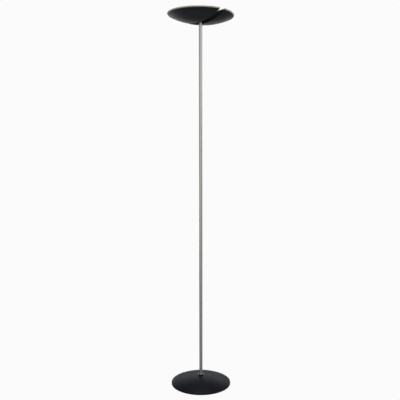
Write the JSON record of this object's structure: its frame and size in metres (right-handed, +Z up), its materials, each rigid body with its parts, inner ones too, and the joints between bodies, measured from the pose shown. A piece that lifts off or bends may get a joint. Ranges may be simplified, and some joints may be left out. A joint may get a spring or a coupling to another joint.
{
  "type": "torchiere floor lamp",
  "caption": "Slim torchiere floor lamp: domed round base, tubular pole and a shallow dish split into tilting half bowls with halogen tubes.",
  "frame": {"origin": "centre of the base underside, on the floor", "axes": "+Z up along the pole; the slot between the two half dishes runs along Y, with the cord inlet at +Y; the left half is at -X"},
  "size_m": [0.3251, 0.323, 1.8525],
  "materials": {
    "felt": "black felt pad",
    "zinc_steel": "zinc-plated steel",
    "cast_iron": "rough grey iron casting",
    "satin_black": "satin black powder coat",
    "black_nylon": "black nylon",
    "white_nylon": "white nylon",
    "brass": "turned brass",
    "satin_chrome": "satin chrome-plated steel tube",
    "satin_chrome_trim": "satin chrome",
    "black_rubber": "black rubber",
    "silicone": "red-brown heat-proof silicone",
    "fibre": "vulcanised fibre",
    "spring_steel": "spring steel",
    "frosted_glass": "satin-etched glass with a faint green tint",
    "ceramic": "unglazed steatite",
    "aluminium": "polished aluminium sheet",
    "quartz": "clear quartz",
    "contact_metal": "nickel-plated brass"
  },
  "bodies": {
    "stand": {"base_pad": "felt", "base_plate": "zinc_steel", "base_plate_screws": "zinc_steel", "base_weight": "cast_iron", "base_cover": "satin_black", "cord_inlet_bushing": "black_nylon", "terminal_block": "white_nylon", "terminal_screws": "brass", "foot_nipple": "zinc_steel", "foot_nut": "zinc_steel", "foot_washer": "zinc_steel", "collar_gasket": "black_rubber", "pole_collar": "satin_chrome_trim", "lower_pole": "satin_chrome", "middle_pole": "satin_chrome", "upper_pole": "satin_chrome", "pole_inserts": "brass", "joint_nipples": "zinc_steel", "pole_top_plug": "brass", "pole_cap": "satin_chrome_trim", "hinge_axle": "zinc_steel", "saddle_spacers": "satin_black", "friction_washers": "fibre", "thrust_washers": "zinc_steel", "disc_springs": "spring_steel", "axle_nuts": "zinc_steel", "axle_bushes": "black_nylon", "supply_leads": "silicone"},
    "left_half": {"left_hinge_bracket": "satin_black", "left_shell": "satin_black", "left_glass": "frosted_glass", "left_glass_gaskets": "silicone", "left_clamp_screws": "zinc_steel", "left_wire_grommet": "silicone", "left_lamp_bracket": "zinc_steel", "left_reflector": "aluminium", "left_lampholders": "ceramic", "left_holder_screws": "zinc_steel", "left_fixed_contact": "contact_metal", "left_contact_spring": "spring_steel", "left_halogen_tube": "quartz", "left_lamp_caps": "ceramic", "left_lamp_lead": "silicone"},
    "left_contact": {"left_sprung_contact": "contact_metal"},
    "right_half": {"right_hinge_bracket": "satin_black", "right_shell": "satin_black", "right_glass": "frosted_glass", "right_glass_gaskets": "silicone", "right_clamp_screws": "zinc_steel", "right_wire_grommet": "silicone", "right_lamp_bracket": "zinc_steel", "right_reflector": "aluminium", "right_lampholders": "ceramic", "right_holder_screws": "zinc_steel", "right_fixed_contact": "contact_metal", "right_contact_spring": "spring_steel", "right_halogen_tube": "quartz", "right_lamp_caps": "ceramic", "right_lamp_lead": "silicone"},
    "right_contact": {"right_sprung_contact": "contact_metal"}
  },
  "joints": [
    {"name": "left_half_tilt", "type": "hinge", "parent": "stand", "child": "left_half", "pos_m": [0, 0, 1.824], "axis": [0, 1, 0], "range_deg": [-18, 19]},
    {"name": "right_half_tilt", "type": "hinge", "parent": "stand", "child": "right_half", "pos_m": [0, 0, 1.824], "axis": [0, -1, 0], "range_deg": [-13.7, 23.3]},
    {"name": "left_contact_press", "type": "slide", "parent": "left_half", "child": "left_contact", "axis": [0, 1, 0], "range_m": [0, 0.0025], "stiffness_N_per_m": 2000, "springref_m": -0.004, "deforming": ["left_contact_spring"]},
    {"name": "right_contact_press", "type": "slide", "parent": "right_half", "child": "right_contact", "axis": [0, -1, 0], "range_m": [0, 0.0025], "stiffness_N_per_m": 2000, "springref_m": -0.004, "deforming": ["right_contact_spring"]}
  ]
}
